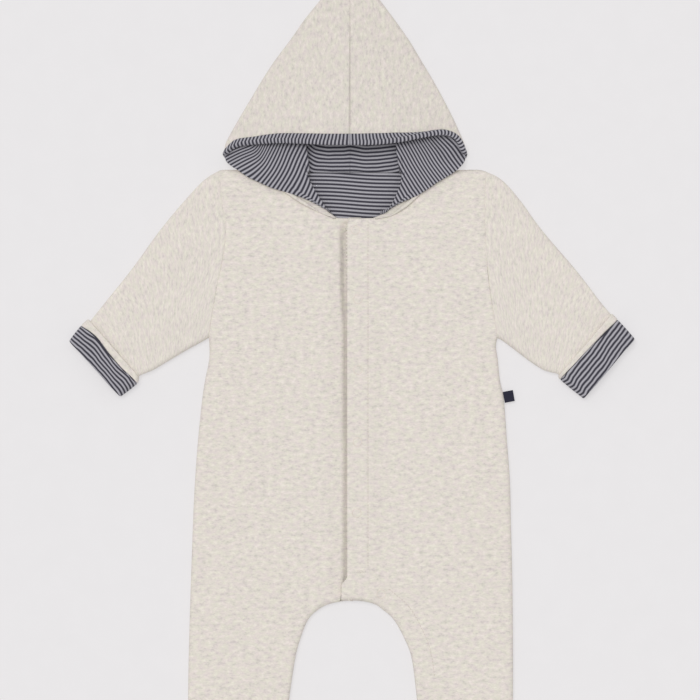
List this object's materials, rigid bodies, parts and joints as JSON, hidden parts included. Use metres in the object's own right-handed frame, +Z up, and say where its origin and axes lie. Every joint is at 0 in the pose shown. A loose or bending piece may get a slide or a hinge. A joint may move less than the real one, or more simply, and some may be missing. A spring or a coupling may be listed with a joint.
{
  "type": "padded baby overalls",
  "caption": "Hooded padded one-piece for a baby, laid flat on its back, with long sleeves, turned-up striped cuffs, legs and a lapped front closed by ring snaps.",
  "frame": {"origin": "centre of the garment's bounding box, on the surface that it lies on", "axes": "+X to the right as seen from above, +Y from the legs to the hood's tip, +Z up from the surface that it lies on"},
  "size_m": [0.5506, 0.7848, 0.026],
  "materials": {
    "shell_knit": "padded marl jersey, matt",
    "striped_lining": "fine navy and white striped jersey, matt",
    "snap_ring": "matt cream",
    "side_tab": "plain navy woven tape"
  },
  "bodies": {
    "root": {"back": "shell_knit", "front_left": "shell_knit", "front_right": "shell_knit", "sleeve_left": "shell_knit", "sleeve_right": "shell_knit", "hood_left": "shell_knit", "hood_right": "shell_knit", "cuff_hem_left": "shell_knit", "cuff_hem_right": "shell_knit", "cuff_left": "striped_lining", "cuff_right": "striped_lining", "hood_binding_left": "striped_lining", "hood_binding_right": "striped_lining", "hood_lining_left": "striped_lining", "hood_lining_right": "striped_lining", "neck_lining": "striped_lining", "snap_1": "snap_ring", "snap_2": "snap_ring", "snap_3": "snap_ring", "snap_4": "snap_ring", "snap_5": "snap_ring", "snap_6": "snap_ring", "side_label": "side_tab"}
  },
  "joints": []
}
